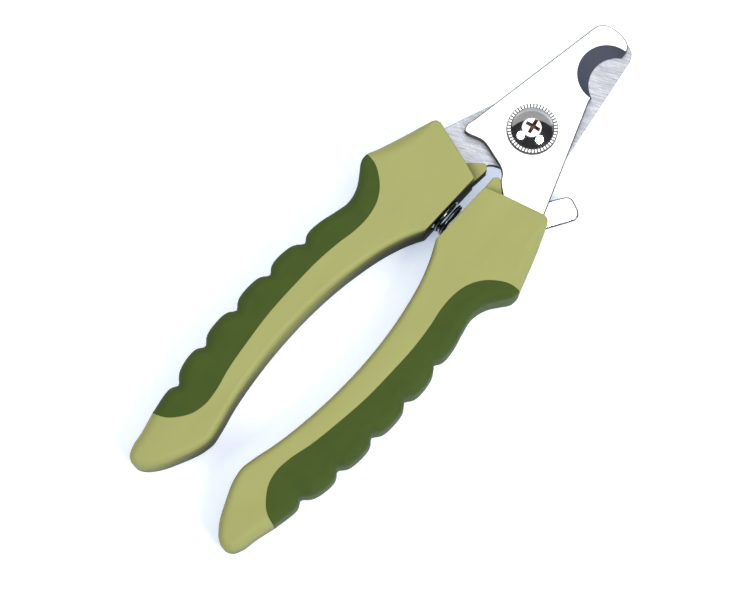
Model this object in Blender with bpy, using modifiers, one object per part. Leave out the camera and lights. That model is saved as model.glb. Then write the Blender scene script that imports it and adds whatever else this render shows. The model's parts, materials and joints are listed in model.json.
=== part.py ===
"""Pet nail trimmer of the plier type, locked closed and lying flat on its back.

Everything is modelled about the pivot, with the blades towards +Y and the front
face up. Sizes are millimetres times MM. The two halves have the same shape: the
left half is the right half given half a turn about the Y axis, so its blade
lies behind the other one.
"""

import math

import bmesh
import bpy
from mathutils import Matrix, Vector

MM = 0.001
NAME = "pet_nail_trimmer"

# Overall places
PIVOT = Vector((0.0, 48.6 * MM, 7.0 * MM))  # puts the origin under the middle of the closed tool
GAP = 0.3  # between touching pieces
RUNNING = 0.1  # radial clearance of a pin in its hole

# Handles
HANDLE_HALF = 7.0  # half the thickness
INNER_FACE = 1.75  # flat face beside the spring
CURVE_STEP = 2.4  # spacing of points along a curve
EDGE_STEPS = 2  # facets of a rounded edge
SHARP, SOFT, ROUND = 0.25, 1.5, 2.8  # edge radii
GROOVES = (-60.8, -72.5, -84.6, -96.4, -107.9)  # finger grooves along the grip
GROOVE_DEPTH = 2.1
GROOVE_WIDTH = 1.45
GROOVED = (-117.0, -50.0)  # the grooved length of the handle
OUTER_SIDE = 15.0  # everything beyond this is the outer side
RIB_HALF = 1.6  # rib of the core that the grip is moulded round

# Blades
BLADE_BACK = 0.15  # the sliding faces stand this far from the middle plane
BLADE_THICK = 2.2
BLADE_FRONT = BLADE_BACK + BLADE_THICK
NOTCH_EDGE = (8.05, 23.6, 7.32)  # circle of the cutting edge: x, y, radius
NOTCH_BEVEL = (4.35, 23.6, 7.65)  # circle where the ground bevel meets the outer face
ANCHORS = ((14.6, -23.5, 2.3), (15.2, -31.3, 2.0))  # tang holes filled by the core

# Pivot
BARREL_RADIUS = 3.0
BARREL_BORE = 2.1
SHANK_RADIUS = 1.95
HEAD_RADIUS = 5.25
HEAD_HEIGHT = 2.2
CROSS_ARM, CROSS_WIDTH = 2.1, 1.0
CROSS_TURN = math.radians(12)
RING_RADIUS = 6.55
RING_TEETH = 46
RING_TOOTH = 0.4
RING_THICK = 0.9
WASHER_RADIUS = 5.9
WASHER_THICK = 0.6
ROUND_SIDES = 48

# Spring between the handles
SPRING_Y = -31.0
SPRING_RADIUS = 4.05  # centre line of the wire
WIRE_RADIUS = 0.65
SPRING_TURNS = 8
SPRING_HALF = 6.7  # half the length of the centre line
POCKET_RADIUS = 5.0
POCKET_END = 7.6
POINTS_PER_TURN = 12

# Lock
RIVET = (15.2, -17.7)
RIVET_RADIUS = 1.5
RIVET_HEAD = 2.4
LEVER_TOP = -BLADE_BACK
LEVER_THICK = 1.8
LEVER_BOTTOM = LEVER_TOP - LEVER_THICK
LOCK_WASHER_THICK = 0.4
RIVET_HEAD_THICK = 0.8

# Outlines of the right half: runs of (x, y) or (x, y, edge radius), each run smooth,
# with a corner where two runs meet
HANDLE_RUNS = (
    ((INNER_FACE, -20.1, SHARP), (6.2, -18.5, 0.5)),
    ((6.2, -18.5, 0.5), (17.5, -15.2, 0.6)),
    ((17.5, -15.2, 0.6), (18.7, -15.45, 0.7), (19.55, -16.5, 1.0)),
    ((19.55, -16.5, 1.0), (21.15, -20.4, ROUND), (24.95, -31.2, 2.6), (25.85, -34.0, 1.5),
     (25.6, -35.8, 1.4), (24.15, -38.1, 2.2), (22.4, -40.7, ROUND), (21.3, -43.5, ROUND),
     (21.0, -46.0, ROUND), (21.7, -49.5, ROUND), (22.8, -53.5, ROUND), (23.5, -57.4, ROUND),
     (24.65, -67.0, ROUND), (25.0, -78.5, ROUND), (24.75, -90.0, ROUND), (23.85, -101.5, ROUND),
     (21.65, -112.0, ROUND), (20.5, -117.0, 2.7), (19.0, -122.6, 2.5), (18.1, -127.0, 2.3),
     (17.05, -128.9, 2.1), (15.1, -129.75, 2.0), (13.1, -129.0, 2.0), (11.2, -127.1, 2.1),
     (7.75, -121.0, 2.1), (5.5, -115.0, 1.9), (5.15, -112.5, 1.8), (5.7, -109.0, 1.8),
     (7.15, -103.0, 1.7), (8.95, -91.0, 1.7), (9.65, -80.0, 1.7), (9.35, -68.0, 1.7),
     (7.85, -56.5, 1.7), (5.4, -46.5, SOFT), (2.9, -40.5, SOFT), (INNER_FACE, -38.3, 1.0)),
    ((INNER_FACE, -38.3, 1.0), (INNER_FACE, -37.6, SHARP)),
    ((INNER_FACE, -37.6, SHARP), (INNER_FACE, -20.1, SHARP)),
)
GRIP_EDGE = (
    (30.0, -33.4), (26.1, -33.7), (22.6, -34.2), (19.4, -36.1), (17.0, -38.5), (15.4, -41.4),
    (14.5, -45.5), (14.6, -50.3), (15.4, -55.0), (16.1, -61.5), (16.25, -70.0), (16.0, -80.0),
    (15.1, -88.3), (13.8, -97.0), (12.4, -103.0), (12.05, -106.8), (12.8, -110.6), (14.6, -113.6),
    (17.6, -116.4), (20.6, -117.4), (26.0, -118.6),
)
RIB_RUNS = (
    ((13.0, -43.0), (17.2, -41.2)),
    ((17.2, -41.2), (17.6, -46.0), (19.2, -56.0), (20.6, -68.0), (21.0, -80.0), (20.6, -91.0),
     (19.4, -101.0), (17.4, -110.0)),
    ((17.4, -110.0), (14.6, -110.0)),
    ((14.6, -110.0), (11.8, -100.0), (12.6, -75.0), (13.0, -43.0)),
)
BLADE_RUNS = (
    ((-6.3, 29.6), (-12.45, -7.6)),
    ((-12.45, -7.6), (-12.9, -10.4), (-12.3, -11.8), (-11.0, -11.75), (-9.0, -11.1), (-7.3, -10.65),
     (-5.5, -10.85), (-3.0, -11.55), (0.0, -12.4), (1.2, -12.95), (2.2, -13.8), (3.0, -15.1), (6.0, -17.7)),
    ((6.0, -17.7), (8.6, -20.5), (10.8, -25.5)),
    ((10.8, -25.5), (10.8, -37.0)),
    ((10.8, -37.0), (8.8, -42.0), (8.9, -51.0)),
    ((8.9, -51.0), (12.2, -51.0)),
    ((12.2, -51.0), (13.0, -43.0), (18.0, -33.5), (20.9, -29.0)),
    ((20.9, -29.0), (18.3, -18.0)),
    ((18.3, -18.0), (16.9, -14.2)),
    ((16.9, -14.2), (5.7, 15.2)),
    ((5.7, 15.2), (4.05, 30.6)),
    ((4.05, 30.6), (4.0, 31.6), (3.45, 32.6), (2.4, 33.25), (0.6, 33.75), (-1.2, 33.8), (-3.5, 33.45),
     (-4.6, 33.0), (-5.45, 32.2), (-6.0, 31.1), (-6.3, 29.6)),
)
HEEL = (
    (1.75, -22.0), (9.0, -22.0), (6.4, -18.2), (3.3, -15.4), (2.6, -14.95), (1.9, -15.05), (1.15, -15.9),
    (1.35, -18.8),
)
HEEL_LOW, HEEL_HIGH = -4.0, 2.4
LEVER_RUNS = (
    ((13.9, -12.2), (17.7, -6.6)),
    ((17.7, -6.6), (18.6, -6.05), (19.6, -6.05)),
    ((19.6, -6.05), (22.3, -7.15)),
    ((22.3, -7.15), (23.25, -8.2), (23.3, -9.6)),
    ((23.3, -9.6), (19.4, -16.2)),
    ((19.4, -16.2), (17.9, -19.7), (15.0, -20.9), (12.4, -19.4), (11.9, -16.5)),
    ((11.9, -16.5), (12.3, -14.0)),
    ((12.3, -14.0), (12.8, -12.4), (13.9, -12.2)),
)
LEVER_RECESS = ((10.2, -13.0), (11.2, -20.6), (14.6, -21.6), (18.0, -20.8), (20.6, -17.3), (23.0, -14.0))

MATERIALS = {
    "hard_plastic": ((0.47, 0.47, 0.19, 1.0), 0.42, 0.0),
    "soft_grip": ((0.078, 0.120, 0.028, 1.0), 0.55, 0.0),
    "blade_steel": ((0.72, 0.74, 0.77, 1.0), 0.28, 1.0),
    "bright_plate": ((0.82, 0.83, 0.85, 1.0), 0.12, 1.0),
    "spring_wire": ((0.012, 0.014, 0.013, 1.0), 0.3, 1.0),
}


# ---------------------------------------------------------------- outlines

def smooth(points, step):
    """Points along a curve through the given ones, the last one left out."""
    points = [Vector((*p, 0.0)[:3]) for p in points]
    if len(points) == 2:
        return points[:1]
    spans = [(b - a) for a, b in zip(points, points[1:])]
    lengths = [s.to_2d().length for s in spans]
    slopes = [s / d for s, d in zip(spans, lengths)]
    tangents = [slopes[0]]
    for i in range(1, len(slopes)):
        before, after = lengths[i - 1], lengths[i]
        tangents.append((slopes[i] * before + slopes[i - 1] * after) / (before + after))
    tangents.append(slopes[-1])
    found = []
    for i, length in enumerate(lengths):
        count = max(1, math.ceil(length / step))
        for k in range(count):
            t = k / count
            found.append(
                points[i] * (2 * t**3 - 3 * t**2 + 1)
                + tangents[i] * (length * (t**3 - 2 * t**2 + t))
                + points[i + 1] * (3 * t**2 - 2 * t**3)
                + tangents[i + 1] * (length * (t**3 - t**2))
            )
    return found


def outline(runs, step=CURVE_STEP):
    """The closed loop of all runs, counterclockwise."""
    loop = [p for run in runs for p in smooth(run, step)]
    area = sum(a.x * b.y - b.x * a.y for a, b in zip(loop, loop[1:] + loop[:1]))
    return loop if area > 0 else loop[::-1]


def moved_out(loop, distances):
    """The counterclockwise loop with each point moved out by its own distance."""
    found = []
    for i, point in enumerate(loop):
        before = (point - loop[i - 1]).to_2d().normalized()
        after = (loop[(i + 1) % len(loop)] - point).to_2d().normalized()
        normal = Vector((before.y + after.y, -before.x - after.x)).normalized()
        miter = max(0.6, normal.x * after.y - normal.y * after.x)
        found.append(point + Vector((*(normal * distances[i] / miter), 0.0)))
    return found


def grown(loop, distance=GAP):
    return moved_out(loop, [distance] * len(loop))


def grip_region(margin):
    """Everything outside the line where the grip meets the core, grown by the margin."""
    edge = smooth(GRIP_EDGE, CURVE_STEP) + [Vector((*GRIP_EDGE[-1], 0.0))]
    far = [Vector((40.0, GRIP_EDGE[-1][1], 0.0)), Vector((40.0, GRIP_EDGE[0][1], 0.0))]
    loop = edge + far
    return grown(loop if signed_area(loop) > 0 else loop[::-1], margin)


def signed_area(loop):
    return sum(a.x * b.y - b.x * a.y for a, b in zip(loop, loop[1:] + loop[:1])) / 2


def grip_points():
    """Extra stations along the grip so that every groove has a point at its bottom."""
    stations = []
    for groove in GROOVES:
        stations += [groove + d for d in (-3.4, -1.9, -0.9, 0.0, 0.9, 1.9, 3.4)]
    return stations


def with_stations(loop):
    """The loop with points added where the grip's outer side crosses the stations."""
    found = []
    for a, b in zip(loop, loop[1:] + loop[:1]):
        found.append(a)
        if min(a.x, b.x) > OUTER_SIDE:
            crossed = [y for y in grip_points() if min(a.y, b.y) + 0.3 < y < max(a.y, b.y) - 0.3]
            crossed.sort(reverse=a.y > b.y)
            found += [a.lerp(b, (y - a.y) / (b.y - a.y)) for y in crossed]
    return found


def handle_loop():
    """The handle's outline with the grooves, dense enough along the grip."""
    loop = with_stations(outline(HANDLE_RUNS))
    for point in loop:
        if point.x > OUTER_SIDE and GROOVED[0] < point.y < GROOVED[1]:
            depth = sum(1 / (1 + ((point.y - y) / GROOVE_WIDTH) ** 2) for y in GROOVES)
            point.x -= GROOVE_DEPTH * depth
    return loop


# ---------------------------------------------------------------- solids

def add_object(name, mesh):
    made = bpy.data.objects.new(name, mesh)
    bpy.context.scene.collection.objects.link(made)
    return made


def evaluated(made):
    """The object as a plain mesh object, in place of the original."""
    graph = bpy.context.evaluated_depsgraph_get()
    mesh = bpy.data.meshes.new_from_object(made.evaluated_get(graph))
    work = bmesh.new()
    work.from_mesh(mesh)
    bmesh.ops.remove_doubles(work, verts=work.verts, dist=0.002 * MM)
    work.to_mesh(mesh)
    work.free()
    mesh.transform(made.matrix_world)
    name = made.name
    bpy.data.objects.remove(made)
    return add_object(name, mesh)


def plate(name, loop, low, high):
    """A flat piece of the outline between two heights."""
    curve = bpy.data.curves.new(name, "CURVE")
    curve.dimensions = "2D"
    curve.fill_mode = "BOTH"
    curve.extrude = (high - low) / 2 * MM
    spline = curve.splines.new("POLY")
    spline.points.add(len(loop) - 1)
    for point, place in zip(spline.points, loop):
        point.co = (place[0] * MM, place[1] * MM, 0.0, 1.0)
    spline.use_cyclic_u = True
    made = add_object(name, curve)
    made.location.z = (low + high) / 2 * MM
    bpy.context.view_layer.update()
    return evaluated(made)


def cone(name, low, high, sides=ROUND_SIDES):
    """A round piece between two circles given as (x, y, z, radius)."""
    work = bmesh.new()
    bmesh.ops.create_cone(work, cap_ends=True, segments=sides, radius1=low[3] * MM,
                          radius2=high[3] * MM, depth=(high[2] - low[2]) * MM)
    middle = Vector(low[:3]).lerp(Vector(high[:3]), 0.5) * MM
    lean = (Vector(high[:2]) - Vector(low[:2])) / (high[2] - low[2])
    shear = Matrix(((1, 0, lean.x, 0), (0, 1, lean.y, 0), (0, 0, 1, 0), (0, 0, 0, 1)))
    bmesh.ops.transform(work, matrix=Matrix.Translation(middle) @ shear, verts=work.verts)
    mesh = bpy.data.meshes.new(name)
    work.to_mesh(mesh)
    work.free()
    return add_object(name, mesh)


def disc(name, x, y, radius, low, high, sides=ROUND_SIDES):
    return cone(name, (x, y, low, radius), (x, y, high, radius), sides)


def turned(name, profile, sides=ROUND_SIDES):
    """A round piece about the Z axis from (radius, height) points, outer side downwards."""
    mesh = bpy.data.meshes.new(name)
    points = [(r * MM, 0.0, z * MM) for r, z in profile]
    mesh.from_pydata(points, [(i, i + 1) for i in range(len(points) - 1)], [])
    made = add_object(name, mesh)
    screw = made.modifiers.new("turn", "SCREW")
    screw.steps = screw.render_steps = sides
    screw.use_merge_vertices = True
    screw.merge_threshold = 0.00001
    return evaluated(made)


def rounded_plate(name, loop, half):
    """A loft of the outline, whose points each carry the radius of the edge there."""
    levels = []
    for k in range(EDGE_STEPS + 1):
        angle = math.pi / 2 * k / EDGE_STEPS
        levels.append((1 - math.sin(angle), -half, 1 - math.cos(angle)))
    levels += [(inset, -z, -rise) for inset, z, rise in levels[::-1]]
    work = bmesh.new()
    rings = []
    for inset, z, rise in levels:
        ring = moved_out(loop, [-p.z * inset for p in loop])
        rings.append([work.verts.new((p.x * MM, p.y * MM, (z + p.z * rise) * MM)) for p in ring])
    for low, high in zip(rings, rings[1:]):
        for i in range(len(loop)):
            j = (i + 1) % len(loop)
            work.faces.new((low[i], low[j], high[j], high[i]))
    work.faces.new(rings[0][::-1])
    work.faces.new(rings[-1])
    mesh = bpy.data.meshes.new(name)
    work.to_mesh(mesh)
    work.free()
    return add_object(name, mesh)


def combined(made, tool, operation):
    """The object after one Boolean with the tool, which is used up."""
    boolean = made.modifiers.new(operation.lower(), "BOOLEAN")
    boolean.operation = operation
    boolean.solver = "EXACT"
    boolean.object = tool
    bpy.context.view_layer.update()
    result = evaluated(made)
    bpy.data.objects.remove(tool)
    return result


def cut(made, *tools):
    for tool in tools:
        made = combined(made, tool, "DIFFERENCE")
    return made


def joined(made, tool):
    return combined(made, tool, "UNION")


# ---------------------------------------------------------------- pieces

def make_blade(name):
    """Blade, heel and tang as one stamped plate, with the hollow-ground notch."""
    made = plate(name, outline(BLADE_RUNS), BLADE_BACK, BLADE_FRONT)
    spare = 0.5
    low, high = Vector(NOTCH_EDGE), Vector(NOTCH_BEVEL)
    slope = (high - low) / BLADE_THICK
    below, above = low - slope * spare, high + slope * spare
    notch = cone("notch", (below.x, below.y, BLADE_BACK - spare, below.z),
                 (above.x, above.y, BLADE_FRONT + spare, above.z))
    pivot_hole = disc("pivot_hole", 0, 0, BARREL_RADIUS + RUNNING, BLADE_BACK - 1, BLADE_FRONT + 1)
    anchors = [disc("anchor", x, y, r, BLADE_BACK - 1, BLADE_FRONT + 1, 20) for x, y, r in ANCHORS]
    return cut(made, notch, pivot_hole, *anchors)


def rivet_hole(made):
    """The front blade's extra hole for the lock's rivet."""
    hole = disc("rivet_hole", *RIVET, RIVET_RADIUS + RUNNING, BLADE_BACK - 1, BLADE_FRONT + 1, 24)
    return cut(made, hole)


def tang_slot():
    """The space of the blade in the core, less the pegs through the tang's holes."""
    slot = plate("slot", grown(outline(BLADE_RUNS)), BLADE_BACK - GAP, BLADE_FRONT + GAP)
    pegs = [disc("peg", x, y, r - GAP, BLADE_BACK - 1, BLADE_FRONT + 1, 16) for x, y, r in ANCHORS]
    return cut(slot, *pegs)


def spring_pocket():
    made = disc("pocket", 0, 0, POCKET_RADIUS, INNER_FACE - 2, POCKET_END, 32)
    made.matrix_world = Matrix.Translation((0, SPRING_Y * MM, 0)) @ Matrix.Rotation(math.pi / 2, 4, "Y")
    bpy.context.view_layer.update()
    return evaluated(made)


def make_core(name, with_lock):
    """The hard moulding round the tang, with the rib that carries the grip."""
    made = rounded_plate(name, handle_loop(), HANDLE_HALF)
    made = cut(made, plate("grip_side", grip_region(GAP), -HANDLE_HALF - 1, HANDLE_HALF + 1))
    made = joined(made, plate("rib", outline(RIB_RUNS), -RIB_HALF, RIB_HALF))
    heel = [Vector((*p, 0.0)) for p in HEEL]
    heel = heel if signed_area(heel) > 0 else heel[::-1]
    made = joined(made, plate("heel", heel, HEEL_LOW, HEEL_HIGH))
    made = cut(made, tang_slot(), spring_pocket())
    if with_lock:
        made = cut(made, plate("recess", LEVER_RECESS, LEVER_BOTTOM - GAP, BLADE_BACK))
        bottom = LEVER_BOTTOM - LOCK_WASHER_THICK - RIVET_HEAD_THICK - 2 * GAP
        made = cut(made, disc("head_room", *RIVET, RIVET_HEAD + GAP, bottom, LEVER_BOTTOM, 24))
    return made


def make_grip(name):
    """The soft moulding round the outer side, with a groove for the core's rib."""
    made = rounded_plate(name, handle_loop(), HANDLE_HALF)
    region = plate("grip_side", grip_region(0.0), -HANDLE_HALF - 1, HANDLE_HALF + 1)
    made = combined(made, region, "INTERSECT")
    return cut(made, plate("rib_groove", grown(outline(RIB_RUNS)), -RIB_HALF - GAP, RIB_HALF + GAP))


def dome(radius, base, height, steps=5):
    """Profile of a domed head from its centre top to its rim."""
    sphere = (radius**2 + height**2) / (2 * height)
    spread = math.asin(radius / sphere)
    return [(sphere * math.sin(spread * k / steps),
             base + height - sphere * (1 - math.cos(spread * k / steps))) for k in range(steps + 1)]


def make_screw(name):
    """Domed cross-recess screw, threaded into the barrel nut."""
    base = BLADE_FRONT + RUNNING + RING_THICK + RUNNING
    rim = 0.5
    end = -BLADE_FRONT - 0.6
    profile = dome(HEAD_RADIUS, base + rim, HEAD_HEIGHT - rim)
    profile += [(HEAD_RADIUS, base), (SHANK_RADIUS, base), (SHANK_RADIUS, end), (0.0, end)]
    made = turned(name, profile)
    top = base + HEAD_HEIGHT
    depth = 1.2
    for turn in (CROSS_TURN, CROSS_TURN + math.pi / 2):
        along = Vector((math.cos(turn), math.sin(turn))) * CROSS_ARM
        across = Vector((-math.sin(turn), math.cos(turn))) * CROSS_WIDTH / 2
        corners = [-along - across, along - across, along + across, across - along]
        made = cut(made, plate("cross", corners, top - depth, top + 1))
    return made


def make_ring(name):
    """Serrated ring under the screw's head."""
    low = BLADE_FRONT + RUNNING
    loop = []
    for i in range(2 * RING_TEETH):
        angle = math.pi * i / RING_TEETH
        radius = RING_RADIUS - (RING_TOOTH if i % 2 else 0.0)
        loop.append((radius * math.cos(angle), radius * math.sin(angle)))
    made = plate(name, loop, low, low + RING_THICK)
    return cut(made, disc("hole", 0, 0, BARREL_RADIUS + RUNNING, low - 1, low + 2))


def make_nut(name):
    """Barrel nut: its barrel is the axle of both blades, its domed head is behind."""
    rim = 0.5
    base = -BLADE_FRONT - RUNNING - WASHER_THICK - RUNNING
    top = BLADE_FRONT + RUNNING + RING_THICK - 0.2
    under = [(r, base - (z - base)) for r, z in dome(HEAD_RADIUS - 0.25, base + rim, HEAD_HEIGHT - rim)]
    profile = [(BARREL_BORE, top), (BARREL_RADIUS, top), (BARREL_RADIUS, base)]
    profile += [(HEAD_RADIUS - 0.25, base)] + under[::-1][:-1] + [(0.0, base - HEAD_HEIGHT)]
    profile += [(0.0, base - 0.6), (BARREL_BORE, base - 0.6), (BARREL_BORE, top)]
    made = turned(name, profile)
    slot = ((-6.0, -0.5), (6.0, -0.5), (6.0, 0.5), (-6.0, 0.5))
    return cut(made, plate("driver_slot", slot, base - HEAD_HEIGHT - 1, base - HEAD_HEIGHT + 0.9))


def make_washer(name, x, y, inner, outer, low, high, sides=ROUND_SIDES):
    return cut(disc(name, x, y, outer, low, high, sides),
               disc("hole", x, y, inner, low - 1, high + 1, sides))


def make_lever(name):
    """Thumb lever of the lock, about its own rivet."""
    made = plate(name, outline(LEVER_RUNS), LEVER_BOTTOM, LEVER_TOP)
    return cut(made, disc("hole", *RIVET, RIVET_RADIUS + RUNNING, LEVER_BOTTOM - 1, LEVER_TOP + 1, 24))


def make_rivet(name):
    under = LEVER_BOTTOM - RUNNING - LOCK_WASHER_THICK - RUNNING
    low = under - RIVET_HEAD_THICK
    profile = [(0.0, BLADE_FRONT), (RIVET_RADIUS, BLADE_FRONT), (RIVET_RADIUS, under),
               (RIVET_HEAD, under), (RIVET_HEAD, low + 0.3), (RIVET_HEAD - 0.4, low), (0.0, low)]
    return turned(name, profile, 24)


def make_spring(name):
    """Compression spring across the gap, its ends in the handles' pockets."""
    curve = bpy.data.curves.new(name, "CURVE")
    curve.dimensions = "3D"
    curve.bevel_depth = WIRE_RADIUS * MM
    curve.bevel_resolution = 2
    curve.use_fill_caps = True
    spline = curve.splines.new("POLY")
    count = SPRING_TURNS * POINTS_PER_TURN
    spline.points.add(count)
    for k, point in enumerate(spline.points):
        angle = 2 * math.pi * k / POINTS_PER_TURN
        x = SPRING_HALF * (2 * k / count - 1)
        point.co = (x * MM, (SPRING_Y + SPRING_RADIUS * math.cos(angle)) * MM,
                    SPRING_RADIUS * math.sin(angle) * MM, 1.0)
    return evaluated(add_object(name, curve))


# ---------------------------------------------------------------- assembly

def make_material(slot):
    colour, roughness, metallic = MATERIALS[slot]
    material = bpy.data.materials.new(slot)
    material.use_nodes = True
    shader = material.node_tree.nodes["Principled BSDF"]
    shader.inputs["Base Color"].default_value = colour
    shader.inputs["Roughness"].default_value = roughness
    shader.inputs["Metallic"].default_value = metallic
    return material


def add_empty(name, collection, parent=None, place=(0, 0, 0), turn=0.0):
    empty = bpy.data.objects.new(name, None)
    collection.objects.link(empty)
    empty.parent = parent
    empty.location = place
    empty.rotation_euler.y = turn
    return empty


def place(made, name, parent, material, collection):
    """Names the piece, gives it its material and hangs it on its half."""
    made.name = name
    for holder in list(made.users_collection):
        holder.objects.unlink(made)
    collection.objects.link(made)
    made.parent = parent
    made.data.materials.clear()
    made.data.materials.append(material)
    made.data.shade_smooth()
    made.data.set_sharp_from_angle(angle=math.radians(35))
    return made


def main():
    for old in list(bpy.data.objects):
        bpy.data.objects.remove(old)
    collection = bpy.data.collections.new(NAME)
    bpy.context.scene.collection.children.link(collection)
    materials = {slot: make_material(slot) for slot in MATERIALS}
    left = add_empty("left_half", collection, place=PIVOT, turn=math.pi)
    middle = add_empty("pivot_axis", collection, place=PIVOT)
    right = add_empty("right_half", collection, place=PIVOT)
    lock = add_empty("lock_axis", collection, right, Vector((*RIVET, 0.0)) * MM)

    steel, bright = materials["blade_steel"], materials["bright_plate"]
    plastic, rubber = materials["hard_plastic"], materials["soft_grip"]
    place(make_blade("back_blade"), "back_blade", left, steel, collection)
    place(rivet_hole(make_blade("front_blade")), "front_blade", right, steel, collection)
    place(make_core("left_core", False), "left_handle_core", left, plastic, collection)
    place(make_core("right_core", True), "right_handle_core", right, plastic, collection)
    place(make_grip("left_soft"), "left_grip", left, rubber, collection)
    place(make_grip("right_soft"), "right_grip", right, rubber, collection)

    behind = -BLADE_FRONT - RUNNING
    place(make_screw("screw"), "pivot_screw", middle, bright, collection)
    place(make_ring("ring"), "serrated_ring", middle, bright, collection)
    place(make_nut("nut"), "barrel_nut", middle, bright, collection)
    washer = make_washer("washer", 0, 0, BARREL_RADIUS + RUNNING, WASHER_RADIUS, behind - WASHER_THICK, behind)
    place(washer, "back_washer", middle, bright, collection)
    place(make_spring("spring"), "handle_spring", middle, materials["spring_wire"], collection)

    lever = make_lever("lever")
    lever.data.transform(Matrix.Translation(Vector((*RIVET, 0.0)) * -MM))
    place(lever, "lock_lever", lock, bright, collection)
    place(make_rivet("rivet"), "lock_rivet", lock, bright, collection)
    below = LEVER_BOTTOM - RUNNING
    lock_washer = make_washer("lock_washer", 0, 0, RIVET_RADIUS + RUNNING, RIVET_HEAD,
                              below - LOCK_WASHER_THICK, below, 24)
    place(lock_washer, "lock_washer", lock, bright, collection)


main()
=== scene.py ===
"""Looks of the pet nail trimmer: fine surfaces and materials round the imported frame."""
import json
import math

import bmesh
import bpy
from mathutils import Matrix, Vector


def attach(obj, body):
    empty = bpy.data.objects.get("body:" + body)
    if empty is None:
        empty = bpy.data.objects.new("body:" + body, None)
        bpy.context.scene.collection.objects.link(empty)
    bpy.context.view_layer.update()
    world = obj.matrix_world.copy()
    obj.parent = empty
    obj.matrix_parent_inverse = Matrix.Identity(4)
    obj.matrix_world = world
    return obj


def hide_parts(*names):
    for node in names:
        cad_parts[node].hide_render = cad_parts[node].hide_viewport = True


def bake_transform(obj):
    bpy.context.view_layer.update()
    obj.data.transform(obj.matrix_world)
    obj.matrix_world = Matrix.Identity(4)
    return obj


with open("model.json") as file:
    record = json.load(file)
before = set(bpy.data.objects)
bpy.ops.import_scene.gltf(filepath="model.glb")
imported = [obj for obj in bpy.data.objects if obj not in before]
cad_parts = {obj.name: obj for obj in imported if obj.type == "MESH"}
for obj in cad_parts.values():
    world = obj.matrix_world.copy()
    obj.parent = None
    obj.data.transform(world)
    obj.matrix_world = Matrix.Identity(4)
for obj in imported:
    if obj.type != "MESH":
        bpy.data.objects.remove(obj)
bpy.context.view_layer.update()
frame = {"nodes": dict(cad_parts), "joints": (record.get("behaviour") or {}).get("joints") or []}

MM = 0.001
JOINTS = {joint["name"]: joint for joint in frame["joints"]}
PIVOT = Vector(JOINTS["handles_open"]["pos_m"])
RIVET = (Vector(JOINTS["lock_turn"]["pos_m"]) - PIVOT) / MM
TURNED = Matrix.Rotation(math.pi, 4, "Y")  # carries the right half's shapes to the left half
PLAIN = Matrix.Identity(4)

# Sizes in millimetres about the pivot, as in the CAD
HANDLE_HALF = 7.0
INNER_FACE = 1.75
CURVE_STEP = 0.7
EDGE_STEPS = 7
SHARP, SOFT, ROUND = 0.25, 1.5, 2.8
GROOVES = (-60.8, -72.5, -84.6, -96.4, -107.9)
GROOVE_DEPTH = 2.1
GROOVE_WIDTH = 1.45
GROOVED = (-117.0, -50.0)
OUTER_SIDE = 15.0
SEAM = 0.04  # gap between pieces that fit tightly
BLADE_BACK = 0.15
BLADE_THICK = 2.2
BLADE_FRONT = BLADE_BACK + BLADE_THICK
BLADE_EDGE = 0.28
NOTCH_EDGE = (8.05, 23.6, 7.32)
NOTCH_BEVEL = (4.35, 23.6, 7.65)
NOTCH_PAST = 0.5
BARREL_RADIUS = 3.0
HEAD_RADIUS = 5.25
HEAD_HEIGHT = 2.2
HEAD_RIM = 0.5  # height of a head's straight rim, under its dome
RIM_CHAMFER = 0.1
SHANK_RADIUS = 1.9
SHANK_END = -2.9
CROSS_TURN = math.radians(12)
CROSS_LEVELS = (  # half length, half width and height from the head's top
    (0.8, 0.3, -1.5), (2.15, 0.48, 0.0), (2.3, 0.5, 0.3),
)
NUT_RADIUS = HEAD_RADIUS - 0.25
NUT_BORE = 2.1
NUT_BORE_DEPTH = 0.6  # of the bore into the head
NUT_TOP_DROP = 0.2
NUT_SLOT_HALF = 0.5
NUT_SLOT_DEPTH = 0.9
RING_TEETH = 46
TOOTH_STEPS = 8
GROOVE_STEPS = (3, 4)  # the steps of each tooth that lie in its groove
RING_THICK = 0.9
RING_FLAT = 0.8  # the teeth's flat tops stand above this height
WASHER_RADIUS = 5.9
WASHER_BORE = 3.1
WASHER_THICK = 0.6
WASHER_CHAMFER = 0.15
RUNNING = 0.1
SPRING_Y = -31.0
SPRING_RADIUS = 4.05
WIRE_RADIUS = 0.65
SPRING_TURNS = 8
SPRING_HALF = 6.7
POCKET_RADIUS = 5.0
POCKET_END = 7.6
LEVER_TOP = -BLADE_BACK
LEVER_BOTTOM = LEVER_TOP - 1.8
LEVER_EDGE = 0.5
LEVER_ROOM = 0.5
RIVET_HOLE = 1.6
HEEL_LOW, HEEL_HIGH = -4.0, 2.4
HEEL_EDGE = 0.2
ROOM = 0.3  # left under a plate in its slot
PAST = 1.0  # how far a cutter reaches past what it cuts
FLAT = 0.97  # how level a face must be to count as part of a flat side
STEEP = 0.45  # how level a face of a handle must be to count as more than a wall
BEVEL_REACH = 4.5  # from the notch's edge to past its hollow grinding
BEVEL_SIDE = 6.0  # the notch's grinding ends inside this X
TIGHT = 0.03  # a face this far inside the dome belongs to its cross recess
# a surface nearer than this, in millimetres, darkens the handles' plastic with painted shade
PAINTED_SHADE_REACH = 20.0

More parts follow.
